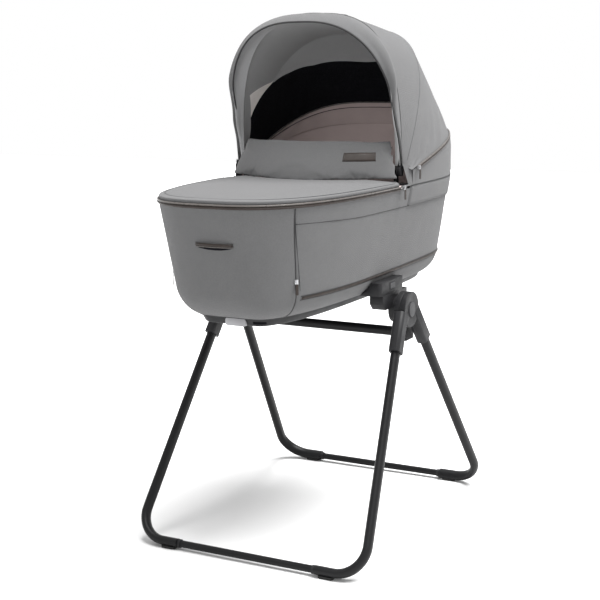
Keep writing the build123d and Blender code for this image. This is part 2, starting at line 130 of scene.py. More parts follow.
class Nodes:
    """A short way to add shader nodes and link them."""

    def __init__(self, name):
        self.material = bpy.data.materials.new(name)
        self.material.use_nodes = True
        self.tree = self.material.node_tree
        self.shader = self.tree.nodes["Principled BSDF"]
        self.place = self.add("ShaderNodeTexCoord").outputs["Object"]

    def add(self, kind, **inputs):
        node = self.tree.nodes.new(kind)
        for socket, value in inputs.items():
            self.put(node.inputs[socket.replace("_", " ")], value)
        return node

    def put(self, socket, value):
        if isinstance(value, bpy.types.NodeSocket):
            self.tree.links.new(value, socket)
        else:
            socket.default_value = value

    def noise(self, scale, detail=2.0, stretch=(1, 1, 1)):
        place = self.add("ShaderNodeMapping", Vector=self.place, Scale=stretch).outputs["Vector"]
        return self.add("ShaderNodeTexNoise", Vector=place, Scale=scale, Detail=detail).outputs["Fac"]

    def wave(self, scale, direction, distortion=0.4):
        node = self.add("ShaderNodeTexWave", Vector=self.place, Scale=scale, Distortion=distortion)
        node.bands_direction = direction
        return node.outputs["Fac"]

    def ramp(self, value, low, high):
        node = self.add("ShaderNodeValToRGB", Fac=value)
        node.color_ramp.elements[0].color = (*low, 1)
        node.color_ramp.elements[1].color = (*high, 1)
        node.color_ramp.elements[0].position = 0.3
        node.color_ramp.elements[1].position = 0.7
        return node.outputs["Color"]

    def mix(self, a, b, share):
        node = self.tree.nodes.new("ShaderNodeMix")
        node.data_type = "RGBA"
        self.put(node.inputs[0], share)
        self.put(node.inputs[6], a)
        self.put(node.inputs[7], b)
        return node.outputs[2]

    def math(self, operation, a, b):
        node = self.tree.nodes.new("ShaderNodeMath")
        node.operation = operation
        self.put(node.inputs[0], a)
        self.put(node.inputs[1], b)
        return node.outputs[0]

    def bump(self, height, distance, strength=0.6):
        node = self.add("ShaderNodeBump", Height=height, Strength=strength, Distance=distance)
        self.tree.links.new(node.outputs["Normal"], self.shader.inputs["Normal"])

    def set(self, **inputs):
        for socket, value in inputs.items():
            self.put(self.shader.inputs[socket.replace("_", " ")], value)


def shade(colour, factor):
    return tuple(channel * factor for channel in colour)


def melange(name, colour, contrast=0.16, sheen=0.1, rough=0.9):
    """A woven melange: mixed light and dark yarns, a fine weave, and slow patches of wear."""
    n = Nodes(name)
    yarn = n.ramp(n.noise(620, 3), shade(colour, 1 - contrast), shade(colour, 1 + contrast))
    patch = n.ramp(n.noise(9, 3), shade(colour, 0.95), shade(colour, 1.05))
    n.set(Base_Color=n.mix(yarn, patch, 0.4), Sheen_Weight=sheen, Sheen_Roughness=0.5,
          Specular_IOR_Level=0.25)
    n.set(Roughness=n.ramp(n.noise(60), (rough - 0.05,) * 3, (rough + 0.05,) * 3))
    weave = n.math("ADD", n.wave(380, "X"), n.wave(380, "Z"))
    n.bump(n.math("ADD", weave, n.noise(900, 2)), 0.0004, 0.5)
    return n.material


def jersey(name, colour):
    """A smooth knitted lining."""
    n = Nodes(name)
    n.set(Base_Color=n.ramp(n.noise(14, 3), shade(colour, 0.94), shade(colour, 1.06)))
    n.set(Roughness=0.95, Sheen_Weight=0.2, Specular_IOR_Level=0.15)
    n.bump(n.math("ADD", n.wave(300, "X", 1.0), n.noise(500)), 0.0003, 0.4)
    return n.material


def netting(name):
    """Black spacer mesh: small bright glints between holes."""
    n = Nodes(name)
    cells = n.add("ShaderNodeTexVoronoi", Vector=n.place, Scale=520.0).outputs["Distance"]
    n.set(Base_Color=n.ramp(cells, shade(MESH_BLACK, 0.4), shade(MESH_BLACK, 2.0)))
    n.set(Roughness=0.95, Specular_IOR_Level=0.05)
    n.bump(cells, 0.0004, 0.5)
    return n.material


def leatherette(name, colour, rough=0.5):
    n = Nodes(name)
    grain = n.add("ShaderNodeTexVoronoi", Vector=n.place, Scale=700.0).outputs["Distance"]
    n.set(Base_Color=n.ramp(n.noise(30, 3), shade(colour, 0.88), shade(colour, 1.12)))
    n.set(Roughness=n.ramp(n.noise(90), (rough - 0.06,) * 3, (rough + 0.08,) * 3), Specular_IOR_Level=0.22)
    n.bump(grain, 0.0003, 0.4)
    return n.material


def plastic(name, colour, rough=0.45, grain=0.00015):
    n = Nodes(name)
    n.set(Base_Color=n.ramp(n.noise(18, 3), shade(colour, 0.9), shade(colour, 1.12)))
    n.set(Roughness=n.ramp(n.noise(45, 3), (rough - 0.05,) * 3, (rough + 0.07,) * 3),
          Specular_IOR_Level=0.22)
    n.bump(n.noise(1400, 2), grain, 0.5)
    return n.material


def paint(name, colour):
    """Satin powder coat on a steel tube."""
    n = Nodes(name)
    n.set(Base_Color=n.ramp(n.noise(25, 3), shade(colour, 0.92), shade(colour, 1.1)))
    n.set(Roughness=n.ramp(n.noise(70, 4), (0.36,) * 3, (0.46,) * 3), Specular_IOR_Level=0.16)
    n.bump(n.noise(1100, 2), 0.0001, 0.4)
    return n.material


def metal(name, colour, rough=0.28):
    n = Nodes(name)
    n.set(Base_Color=(*colour, 1), Metallic=1.0)
    n.set(Roughness=n.ramp(n.noise(160, 3), (rough - 0.06,) * 3, (rough + 0.1,) * 3))
    n.bump(n.noise(700, 2), 0.00008, 0.4)
    return n.material


def make_materials():
    return {
        "fabric": melange("fabric_melange", GREY),
        # The lining copy of the grey melange is brightened threefold as painted light for the canopy's
        # inside.
        "grey_lining_painted_light": melange("grey_lining_painted_light", GREY_LINING_PAINTED_LIGHT, contrast=0.08),
        "seam": melange("seam_thread", SEAM_DARK, contrast=0.2),
        "taupe": jersey("taupe_lining", TAUPE),
        "beige": jersey("beige_lining", BEIGE),
        "net": netting("black_net"),
        "brown": leatherette("brown_tape", BROWN, 0.45),
        "piping": leatherette("light_piping", PIPING, 0.3),
        "silver": metal("silver_metal", (0.42, 0.42, 0.43)),
        "tab": plastic("silver_tab", (0.26, 0.26, 0.27), 0.35),
        "paint": paint("black_paint", (0.006, 0.006, 0.0065)),
        "plastic": plastic("black_plastic", (0.010, 0.010, 0.011), 0.5),
        "button": plastic("button_plastic", (0.028, 0.028, 0.030), 0.5),
        "rubber": plastic("black_rubber", (0.018, 0.018, 0.018), 0.75),
        "board": plastic("grey_board", (0.25, 0.25, 0.25), 0.7),
    }


MATERIALS = make_materials()


# ---- mesh helpers ----

def piece(name, mesh, material, smooth=True):
    obj = bpy.data.objects.new(name, mesh)
    bpy.context.scene.collection.objects.link(obj)
    mesh.materials.append(MATERIALS[material])
    mesh.polygons.foreach_set("use_smooth", [smooth] * len(mesh.polygons))
    return obj


def surface(name, rows, material, closed=False, ends=False):
    """A quad surface through rows of points; closed joins each row's ends, ends caps the outer rows."""
    width = len(rows[0])
    points = [Vector(p) * MM for row in rows for p in row]
    faces = []
    for r in range(len(rows) - 1):
        for c in range(width if closed else width - 1):
            n = (c + 1) % width
            corners = [r * width + c, r * width + n, (r + 1) * width + n, (r + 1) * width + c]
            if area_of([points[i] for i in corners]) > 1e-10:
                faces.append(corners)
    if ends:
        faces.append(list(range(width))[::-1])
        faces.append([(len(rows) - 1) * width + c for c in range(width)])
    mesh = bpy.data.meshes.new(name)
    mesh.from_pydata(points, [], faces)
    tidy_mesh(mesh)
    return piece(name, mesh, material)


def area_of(corners):
    a, b, c, d = corners
    return ((c - a).cross(d - b)).length / 2


def tidy_mesh(mesh):
    """Welds doubled points, drops loose ones and turns the faces the same way."""
    bm = bmesh.new()
    bm.from_mesh(mesh)
    bmesh.ops.remove_doubles(bm, verts=bm.verts, dist=1e-5)
    bmesh.ops.delete(bm, geom=[v for v in bm.verts if not v.link_faces], context="VERTS")
    bmesh.ops.recalc_face_normals(bm, faces=bm.faces)
    bm.to_mesh(mesh)
    bm.free()


def tube(name, points, radius, material, cyclic=False, flat=1.0):
    """A round or flattened cord along a line of points."""
    points = [Vector(p) * MM for p in points]
    rows = []
    count = len(points)
    for i, point in enumerate(points):
        before = points[i - 1] if cyclic or i > 0 else point
        after = points[(i + 1) % count] if cyclic or i < count - 1 else point
        along = (after - before).normalized()
        side = along.cross(Vector((0, 0, 1)))
        side = (side if side.length > 1e-6 else Vector((1, 0, 0))).normalized()
        up = side.cross(along)
        ring = []
        for k in range(8):
            turn = 2 * math.pi * k / 8
            offset = side * math.cos(turn) * radius * flat + up * math.sin(turn) * radius
            ring.append((point + offset * MM) / MM)
        rows.append(ring)
    if cyclic:
        rows.append(rows[0])
    return surface(name, rows, material, closed=True, ends=not cyclic)


def stitches(name, points, material="piping", step=5.0, radius=0.45):
    """A row of short thread stitches along a line."""
    meshes = []
    line = resample(points, step / 2)
    for i in range(0, len(line) - 1, 2):
        meshes.append(tube(f"{name}_{i}", [line[i], line[i + 1]], radius, material))
    return joined(name, meshes)


def joined(name, objects):
    """One object from several, with their materials kept."""
    bm = bmesh.new()
    materials = []
    for obj in objects:
        start = len(bm.faces)
        bm.from_mesh(obj.data)
        bm.faces.ensure_lookup_table()
        used = obj.data.materials[0]
        if used not in materials:
            materials.append(used)
        for face in bm.faces[start:]:
            face.material_index = materials.index(used)
    mesh = bpy.data.meshes.new(name)
    bm.to_mesh(mesh)
    bm.free()
    for material in materials:
        mesh.materials.append(material)
    for obj in objects:
        bpy.data.objects.remove(obj)
    made = bpy.data.objects.new(name, mesh)
    bpy.context.scene.collection.objects.link(made)
    return made


def resample(points, step):
    """Points spaced evenly along a line."""
    points = [Vector(p) for p in points]
    lengths = [0.0]
    for a, b in zip(points, points[1:]):
        lengths.append(lengths[-1] + (b - a).length)
    count = max(2, int(lengths[-1] / step))
    found = []
    for i in range(count + 1):
        goal = lengths[-1] * i / count
        k = min(np.searchsorted(lengths, goal, side="right"), len(points) - 1)
        span = lengths[k] - lengths[k - 1]
        share = (goal - lengths[k - 1]) / span if span > 0 else 0
        found.append(points[k - 1].lerp(points[k], share))
    return found


def mix(a, b, share):
    return a + (b - a) * share


def smooth_step(low, high, value):
    share = min(1.0, max(0.0, (value - low) / (high - low)))
    return share * share * (3 - 2 * share)


def steps(low, high, count):
    return [mix(low, high, i / count) for i in range(count + 1)]


def wander(point, size, seed=0.0):
    """Slow smooth noise from -1 to 1 at a point, with features of about the given size."""
    return noise.noise(Vector(point) / size + Vector((seed, seed * 1.7, seed * 0.3)))


def finish_piece(obj, body, *replaced, slot="fabric"):
    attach(obj, body)
    if replaced:
        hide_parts(*replaced)
    return obj


# ---- tub ----

def rim_table(count=1440):
    """Points and outward directions round the rim at equal spacing, from the foot's middle towards +X."""
    raw = []
    for i in range(count):
        turn = 2 * math.pi * i / count - math.pi / 2
        across, along = math.cos(turn), math.sin(turn)
        power = 2 / (HEAD_EXPONENT if along > 0 else FOOT_EXPONENT)
        y = HALF_LENGTH * abs(along) ** power * math.copysign(1, along)
        wide = HALF_WIDTH * (1 + HEAD_TAPER * y / HALF_LENGTH)
        raw.append(Vector((wide * abs(across) ** power * math.copysign(1, across), y)))
    line = resample([(p.x, p.y, 0) for p in raw + raw[:1]], 2.0)[:-1]
    table = []
    for i, point in enumerate(line):
        along = (line[(i + 3) % len(line)] - line[i - 3]).normalized()
        table.append((point.xy, Vector((along.y, -along.x))))
    return table


RIM = rim_table()


def wall_inset(z):
    lean = WALL_LEAN * max(0, RIM_Z - z)
    if z >= CORNER_TOP:
        return lean
    drop = min(CORNER_TOP - z, CORNER_RADIUS)
    return lean + CORNER_RADIUS - math.sqrt(CORNER_RADIUS**2 - drop**2)


def tub_point(place, z, out=0.0):
    """A point on the tub's wall: place runs round the rim from 0 at the foot's middle, past +X, to 1."""
    index = (place % 1.0) * len(RIM)
    low = int(index) % len(RIM)
    share = index - int(index)
    high = (low + 1) % len(RIM)
    at = RIM[low][0].lerp(RIM[high][0], share)
    outward = RIM[low][1].lerp(RIM[high][1], share)
    corner = abs(2 * outward.x * outward.y)
    move = out - wall_inset(z) * (1 - HEAD_UPRIGHT * max(0, outward.y)) * (1 - CORNER_FULLNESS * corner)
    return Vector((at.x + outward.x * move, at.y + outward.y * move, z))


def place_where(test):
    """The first place round the rim, from the foot's middle towards +X, whose rim point passes a test."""
    for i in range(len(RIM) // 2):
        if test(RIM[i][0]):
            return i / len(RIM)


FOOT_SEAM = place_where(lambda p: p.x > SEAM_X)
HEAD_SEAM = place_where(lambda p: p.y > 0 and p.x < SEAM_X)
COLLAR_START = place_where(lambda p: p.y > 60)
ZIP_END = place_where(lambda p: p.y > box("rim_zip_sliders")[0].y + 4)
HOOD_START = place_where(lambda p: p.y > 66)


def fabric_relief(place, z):
    """Slight fullness of the cover over its boards."""
    point = tub_point(place, z)
    edge = min(1.0, (z - COVER_BOTTOM) / 30, (RIM_Z + 4 - z) / 30)
    return (1.1 * wander(point, 95, 3.1) + 0.5 * wander(point, 38, 7.7)) * max(0.0, edge)


def cover_panel(name, start, end, *nodes):
    """One fabric panel of the cover, turned in a little at its side seams."""
    rows = []
    for z in steps(COVER_BOTTOM, RIM_Z - 3, 56):
        row = []
        left, right = start(z), end(z)
        for place in steps(left, right, 180):
            from_seam = min(place - left, right - place) * len(RIM) * 2
            tuck = -1.6 * math.exp(-((from_seam / 2.5) ** 2))
            row.append(tub_point(place, z, fabric_relief(place, z) + tuck))
        rows.append(row)
    panel = finish_piece(surface(name, rows, "fabric"), "bassinet", *nodes)
    return stretched(panel, rows, "board_layer")


def band(name, start, end, low, high, out, material, count=160, bulge=0.0):
    """A ribbon laid on the tub's wall; low, high and out are numbers or functions of place."""
    rows = []
    for share in steps(0, 1, 6):
        row = []
        for i, place in enumerate(steps(start, end, count)):
            z = mix(value(low, place), value(high, place), share)
            rise = value(out, place) + bulge * math.sin(math.pi * share)
            row.append(tub_point(place, z, rise if 0 < i < count else -0.5))
        rows.append(row)
    inner_low = [tub_point(place, value(low, place), -0.5) for place in steps(start, end, count)]
    inner_high = [tub_point(place, value(high, place), -0.5) for place in steps(start, end, count)]
    return surface(name, [inner_low, *rows, inner_high], material)


def value(number, place):
    return number(place) if callable(number) else number


def wall_line(name, route, out, radius, material):
    """A seam line, piping or cord along (place, z) points on the wall."""
    return tube(name, [tub_point(place, z, out) for place, z in route], radius, material)


def both_sides(make):
    """A piece on the right, and its twin on the left made by turning place round."""
    return [make("right", lambda place: place), make("left", lambda place: 1 - place)]


def seam_z(place):
    """The side seam under the rim: it rises a little at the foot end."""
    side = place if place < 0.5 else 1 - place
    return mix(745, 739, smooth_step(FOOT_SEAM, FOOT_SEAM + 0.10, side))


def lower_zip_z(place):
    side = place if place < 0.5 else 1 - place
    return mix(590, 599, smooth_step(FOOT_SEAM, 0.40, side))


def seam_place(z):
    """The corner seam runs straight down while the wall turns in, so it moves round a little."""
    return FOOT_SEAM + 0.0125 * (1 - smooth_step(COVER_BOTTOM - 30, RIM_Z, z))


GORE = 0.0048
GORE_BOTTOM = 606


def gore_route(share_wide):
    """The two lines of the corner gore: they part going down from the rim to the slider."""
    route = []
    for z in steps(RIM_Z - 7, GORE_BOTTOM, 40):
        spread = (RIM_Z - 13 - z) / (RIM_Z - 13 - GORE_BOTTOM)
        route.append((seam_place(z) + share_wide * GORE * max(0, spread), z))
    return route


def make_cover():
    cover_panel("cover_foot", lambda z: -seam_place(z), seam_place, "foot_panel")
    cover_panel("cover_side_right", seam_place, lambda z: HEAD_SEAM, "side_panel_right")
    cover_panel("cover_side_left", lambda z: 1 - HEAD_SEAM, lambda z: 1 - seam_place(z), "side_panel_left")
    cover_panel("cover_head", lambda z: HEAD_SEAM, lambda z: 1 - HEAD_SEAM, "head_panel")
    both_sides(make_side_trim)
    hem = wall_line("cover_hem", [(p, COVER_BOTTOM + 0.8) for p in steps(0, 1, 300)], -0.5, 1.2, "seam")
    finish_piece(hem, "bassinet")


def make_side_trim(side, turn):
    """Seams, the lower zip with its brown tape, and the corner gore on one side."""
    after = seam_place(lower_zip_z(FOOT_SEAM)) + GORE
    first = seam_place(seam_z(FOOT_SEAM)) + 0.0008
    route = [(turn(p), seam_z(p)) for p in steps(first, 0.5, 160)]
    seam = wall_line(f"side_seam_{side}", route, 0.1, 0.75, "seam")
    finish_piece(seam, "bassinet")
    lines = [wall_line(f"gore_line_{i}", [(turn(p), z) for p, z in gore_route(w)], 0.2, 0.8, "seam")
             for i, w in enumerate((0, 1))]
    below = [(turn(seam_place(z)), z) for z in steps(GORE_BOTTOM, COVER_BOTTOM + 2, 30)]
    lines.append(wall_line("gore_below", below, 0.0, 0.6, "seam"))
    finish_piece(joined(f"corner_seams_{side}", lines), "bassinet")
    tape = band(f"lower_zip_tape_{side}", turn(after + 0.002), turn(0.5),
                lambda p: lower_zip_z(p) - 3.4, lambda p: lower_zip_z(p) + 3.4, 0.9, "brown", bulge=0.8)
    finish_piece(tape, "bassinet", slot="trim_brown")
    for name, lift in (("upper", 4.3), ("lower", -4.0)):
        route = [(turn(p), lower_zip_z(p) + lift) for p in steps(after + 0.001, 0.5, 160)]
        cord = wall_line(f"lower_zip_{name}_edge_{side}", route, 0.6, 0.8, "seam")
        finish_piece(cord, "bassinet")
    teeth = [(turn(p), lower_zip_z(p)) for p in steps(after + 0.002, 0.5, 160)]
    coil = wall_line(f"lower_zip_teeth_{side}", teeth, 1.9, 0.9, "brown")
    return finish_piece(coil, "bassinet", slot="trim_brown")


def make_collar():
    """The proud band round the head half, with its hem, closed at both front ends."""
    high = RIM_Z + 2
    collar = band("collar", COLLAR_START, 1 - COLLAR_START, lambda p: seam_z(p) + 1, high, 3.2,
                  "fabric", 220, 0.6)
    finish_piece(collar, "bassinet", "head_collar")
    hem = [(p, seam_z(p) + 1) for p in steps(COLLAR_START, 1 - COLLAR_START, 220)]
    finish_piece(wall_line("collar_hem", hem, 1.8, 0.9, "seam"), "bassinet")
    top = [(p, high + 0.5) for p in steps(COLLAR_START, 1 - COLLAR_START, 220)]
    finish_piece(wall_line("collar_seam", top, 3.2, 0.7, "seam"), "bassinet")


def make_rim_zip():
    """The brown zip tape and coil under the apron, and the light piping over them."""
    start, end = -ZIP_END, ZIP_END
    tape = band("rim_zip_tape", start, end, RIM_Z - 5, RIM_Z + 1.0, 2.0, "brown", 260, 0.8)
    finish_piece(tape, "bassinet", "rim_zip", slot="trim_brown")
    coil = wall_line("rim_zip_coil", [(p, RIM_Z - 2) for p in steps(start, end, 260)], 3.0, 1.0, "brown")
    finish_piece(coil, "bassinet", slot="trim_brown")
    piping = wall_line("rim_piping", [(p, RIM_Z + 3.0) for p in steps(start, end, 260)], 2.0, 1.7, "piping")
    finish_piece(piping, "bassinet", slot="trim_brown")
    back = band("rim_tape_head", ZIP_END, 1 - ZIP_END, RIM_Z + 2.5, RIM_Z + 5.5, 2.4, "fabric", 200)
    finish_piece(back, "bassinet")


def shell_piece(name, outer, inner, low, high, material, node, slot):
    """A smooth layer of the tub between two insets and two heights."""
    places = steps(0, 1, 240)[:-1]
    heights = steps(low, high, 16)
    rows = [[tub_point(p, z, -outer) for p in places] for z in heights]
    rows += [[tub_point(p, z, -inner) for p in places] for z in reversed(heights)]
    rows.append(rows[0])
    return finish_piece(surface(name, rows, material, closed=True), "bassinet", node, slot=slot)


def make_layers():
    shell_piece("board_layer", 6.6, 9.0, 584, RIM_Z - 2, "board", "wall_board", "board")
    shell_piece("rim_frame_layer", 3.6, 6.0, RIM_Z - 21, RIM_Z - 3, "plastic", "rim_frame", "black_plastic")
    shell_piece("liner_layer", 10.0, 15.5, 549, RIM_Z + 3, "taupe", "liner", "lining")


def make_pan():
    """The black base pan: a smooth tray whose lower edge stands a little proud."""
    places = steps(0, 1, 300)[:-1]

    def ring(z, out):
        return [Vector((*tub_point(p, max(z, COVER_BOTTOM), out).xy, z)) for p in places]

    profile = [(COVER_BOTTOM + 3, -4.0), (COVER_BOTTOM - 0.5, -3.2), (COVER_BOTTOM - 2.5, -3.6),
               (COVER_BOTTOM - 6, -5.0), (PAN_BOTTOM + 5, -8.0), (PAN_BOTTOM + 2, -10.0),
               (PAN_BOTTOM + 0.6, -13.0), (PAN_BOTTOM, -17)]
    rows = [ring(z, out) for z, out in profile]
    edge = rows[-1]
    for share in (0.8, 0.5, 0.2, 0.02):
        rows.append([Vector((p.x * share, p.y * share, p.z)) for p in edge])
    pan = surface("pan", rows, "plastic", closed=True)
    finish_piece(pan, "bassinet", "base_pan", slot="black_plastic")
    slot_z = (COVER_BOTTOM + PAN_BOTTOM) / 2

    def slot_place(x):
        return place_where(lambda p: p.x > x)

    line = [tub_point(p, COVER_BOTTOM, -6.0) for p in steps(slot_place(70), slot_place(140), 20)]
    rows = [[Vector((*p.xy, slot_z + dz)) + Vector((0, -dy, 0)) for p in line]
            for dz, dy in ((-3.2, -4), (-2.6, 0.6), (2.6, 1.6), (3.2, -3))]
    finish_piece(surface("pan_slot", rows, "net"), "bassinet", slot="black_plastic")


# ---- foot handle ----

def make_foot_handle():
    """A leatherette pull strap over a near-black patch on the foot panel, painted shade of the gap behind
    the strap.
    """
    low, high = box("foot_handle")
    middle_x, half = (low.x + high.x) / 2, 43
    z = (low.z + high.z) / 2

    def on_panel(share, dz, out):
        x = middle_x + half * share
        place = place_where(lambda p: p.x > abs(x)) * (1 if x > 0 else -1)
        return tub_point(place, z + dz, out)

    shares = steps(-1, 1, 30)
    def lens(share, amount):
        return amount * (1 - share * share) ** 0.7 if abs(share) < 1 else 0.0

    # The near-black lens-shaped patch lies flat on the panel: painted shade where the gap behind the strap
    # falls dark.
    painted_gap_shade = [[on_panel(s, dz * (0.15 + lens(s, 0.85)), 0.8) for s in shares] for dz in steps(-8.5, 3.0, 4)]
    finish_piece(surface("handle_painted_gap_shade", painted_gap_shade, "net"), "bassinet", slot="strap")
    rows = []
    for turn in steps(0, 2 * math.pi, 14):
        row = []
        for s in shares:
            slim = 0.35 + 0.65 * (1 - s**4)
            row.append(on_panel(s, 2.6 * slim * math.sin(turn) + 2.4, 1.2 + lens(s, 7.5) + math.cos(turn)))
        rows.append(row)
    strap = surface("handle_strap", rows, "brown")
    finish_piece(strap, "bassinet", "foot_handle", slot="strap")
    cord = tube("handle_piping", [on_panel(s, -1.2, 1.6 + lens(s, 7.8)) for s in shares], 0.9, "piping")
    finish_piece(cord, "bassinet", slot="strap")
    lip = tube("handle_top_edge", [on_panel(s, 5.4, 1.0 + lens(s, 7.0)) for s in shares], 0.7, "brown")
    finish_piece(lip, "bassinet", slot="strap")


# ---- canopy ----

SECTIONS = ((HEM, BROW, FRONT), (FRONT, MID), (MID, SHOULDER, ZIP))


def arch_point(turn, arch, inward=0.0):
    """A point on an arch: turn runs from 0 at the right hinge to 180 at the left."""
    angle, reach, half_width, exponent = arch
    across, up = math.cos(math.radians(turn)), math.sin(math.radians(turn))
    power = 2 / exponent
    x = (half_width - inward) * abs(across) ** power * math.copysign(1, across)
    out = EYE_RADIUS + (reach - inward - EYE_RADIUS) * abs(up) ** power
    lean = math.radians(angle)
    return Vector((x, HINGE_Y + out * math.sin(lean), HINGE_Z + out * math.cos(lean)))


def lagrange(knots, points, at):
    total = Vector((0, 0, 0))
    for i, (knot, point) in enumerate(zip(knots, points)):
        weight = 1.0
        for j, other in enumerate(knots):
            if j != i:
                weight *= (at - other) / (knot - other)
        total += point * weight
    return total


def canopy_point(turn, angle, inward=0.0):
    """A point on the canopy, on its outer face or some distance inside it."""
    arches = next((s for s in SECTIONS if angle <= s[-1][0]), SECTIONS[-1])
    knots = [arch[0] for arch in arches]
    point = lagrange(knots, [arch_point(turn, arch, inward) for arch in arches], angle)
    side = min(turn, 180 - turn)
    if angle < FRONT[0]:
        share = (FRONT[0] - angle) / (FRONT[0] - HEM[0])
        flare = smooth_step(12, 29, side) * (1 - smooth_step(34, 80, side))
        flare *= math.sin(math.pi * min(share, 0.82))
        point.x += math.copysign(15 * flare, 90 - turn)
        rise = min(1.0, (point.z - HINGE_Z) / (HEM[1] * 0.97))
        curl = math.sin(math.pi * share) * smooth_step(3, 10, side) * (1 - smooth_step(20, 45, side))
        point.y += 14 * (1 - rise) * share**3 - 9 * curl
    return point


def canopy_wrinkle(point, turn, angle):
    """Soft folds near the rear zip, and slight fullness elsewhere."""
    side = min(turn, 180 - turn)
    near_zip = smooth_step(45, 74, angle) * (1 - smooth_step(30, 60, side))
    across = Vector((0, point.y - HINGE_Y, point.z - HINGE_Z))
    fold = math.sin(across.length / 11 + angle * 0.35 + 2 * wander(point, 60, 1.3)) * 1.5 * near_zip
    return fold + 1.0 * wander(point, 110, 5.5)


def canopy_rows(low, high, inward, count=26, columns=120):
    """Rows of points over the canopy between two angles, given as numbers or functions of turn."""
    rows = []
    for share in steps(0, 1, count):
        row = []
        for turn in arch_turns(0, columns):
            angle = mix(value(low, turn), value(high, turn), share)
            point = canopy_point(turn, angle, value(inward, angle))
            middle = Vector((0, HINGE_Y + 60, HINGE_Z + 60))
            out = (point - middle).normalized()
            seam = min(abs(angle - arch[0]) for arch in (HEM, FRONT, MID, ZIP))
            amount = canopy_wrinkle(point, turn, angle) * smooth_step(0, 8, seam)
            row.append(point + out * amount)
        rows.append(row)
    return rows


def flat_size(rows):
    """(width, length, area) in metres that the cloth of a stretched panel was cut to."""
    points = [[Vector(p) * MM for p in row] for row in rows]
    width = max(sum((b - a).length for a, b in zip(row, row[1:])) for row in points)
    columns = list(zip(*points))
    length = max(sum((b - a).length for a, b in zip(column, column[1:])) for column in columns)
    area = 0.0
    for low, high in zip(points, points[1:]):
        for i in range(len(low) - 1):
            area += area_of([low[i], low[i + 1], high[i + 1], high[i]])
    return width, length, area


def stretched(obj, rows, *rests_on):
    width, length, area = flat_size(rows)
    width = min(width, 2 * area / length)
    area = min(area, width * length)
    return obj


def angle_blend(obj):
    """Bakes a panel's placement into its mesh."""
    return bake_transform(obj)


def make_canopy_fabric():
    rows = canopy_rows(HEM[0], FRONT[0], 0)
    visor = surface("visor_fabric", rows, "fabric")
    finish_piece(visor, "canopy_front", "visor")
    stretched(visor, rows, "front_bow")
    rows = canopy_rows(FRONT[0] + 0.01, MID[0], 0)
    panel = surface("canopy_front_fabric", rows, "fabric")
    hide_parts("canopy_front_panel")
    stretched(panel, rows, "front_bow", "mid_bow")
    angle_blend(panel)
    rows = canopy_rows(MID[0] + 0.01, ZIP[0], 0, count=44)
    panel = surface("canopy_rear_fabric", rows, "fabric")
    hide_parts("canopy_rear_panel")
    stretched(panel, rows, "mid_bow")
    angle_blend(panel)


def arch_turns(first, count):
    """Turns from one hinge to the other, closer together near the hinges."""
    turns = []
    for share in steps(-1, 1, count):
        turns.append(90 - (90 - first) * math.copysign(1 - (1 - abs(share)) ** 2, share))
    return turns


def canopy_line(name, angle, out, radius, material, body, first=0.5, count=120, slot="fabric"):
    points = [canopy_point(t, value(angle, t), -out) for t in arch_turns(first, count)]
    return finish_piece(tube(name, points, radius, material), body, slot=slot)


def make_canopy_trim():
    canopy_line("visor_hem", HEM[0], -1.2, 2.2, "seam", "canopy_front", 0.3)
    canopy_line("front_bow_seam", FRONT[0], 0.3, 0.9, "seam", "canopy_front")
    canopy_line("mid_bow_seam", MID[0], -0.1, 0.5, "seam", "canopy_mid")
    canopy_line("canopy_piping", ZIP[0], 1.6, 1.8, "piping", "bassinet", 0.5, slot="trim_brown")
    tape = [canopy_point(t, ZIP[0], -1.5) for t in arch_turns(0.5, 140)]
    rows = [[p + Vector((0, 0, dz)) + side_push(p, out) for p in tape]
            for dz, out in ((-1, 0.0), (-1.8, 1.6), (-4.5, 2.2), (-7.5, 1.8), (-8.5, 0.0))]
    finish_piece(surface("canopy_zip_tape", rows, "brown"), "bassinet", slot="trim_brown")


def side_push(point, amount):
    """Outwards in plan from the tub's middle line."""
    flat = Vector((point.x, 0.35 * (point.y - HINGE_Y), 0))
    return flat.normalized() * amount


def make_hood_wall():
    """The fixed fabric wall between the rim and the canopy's zip."""
    places = steps(HOOD_START, 1 - HOOD_START, 220)
    rows = []
    for share in steps(0, 1, 18):
        row = []
        for place in places:
            low_z = RIM_Z + 4.3
            edge = tub_point(place, RIM_Z, 3.5)
            top_z = HINGE_Z + (edge.y - HINGE_Y) / math.tan(math.radians(ZIP[0])) - 3.0
            z = mix(low_z, top_z, share)
            lean = -3.5 + 8.5 * smooth_step(850, 925, z)
            point = tub_point(place, RIM_Z, -lean)
            point.z = z
            full = 0.9 * wander(point, 70, 9.2) * math.sin(math.pi * share)
            row.append(point + Vector((point.x, point.y * 0.3, 0)).normalized() * full)
        rows.append(row)
    wall = surface("hood_wall_fabric", rows, "fabric")
    finish_piece(wall, "bassinet", "hood_wall")
    stretched(wall, rows, "rim_frame_layer")
    inside = [[p - Vector((p.x, p.y * 0.5, 0)).normalized() * 13 for p in row] for row in rows]
    lining = surface("hood_wall_lining", inside, "taupe")
    finish_piece(lining, "bassinet", slot="lining")
    stretched(lining, inside, "hood_wall_fabric")


# ---- canopy lining ----

def make_lining_piping():
    """The light piping where the head lining meets the net, with its dark seam below."""
    turns = arch_turns(2, 140)
    for name, angle, radius, material in (("piping", LINING_HEAD_ANGLE, 1.6, "piping"),
                                          ("seam", LINING_HEAD_ANGLE + 2.2, 0.8, "seam")):
        line = [canopy_point(t, angle, 14.5) for t in turns]
        cord = tube(f"lining_{name}", line, radius, material)
        angle_blend(cord)


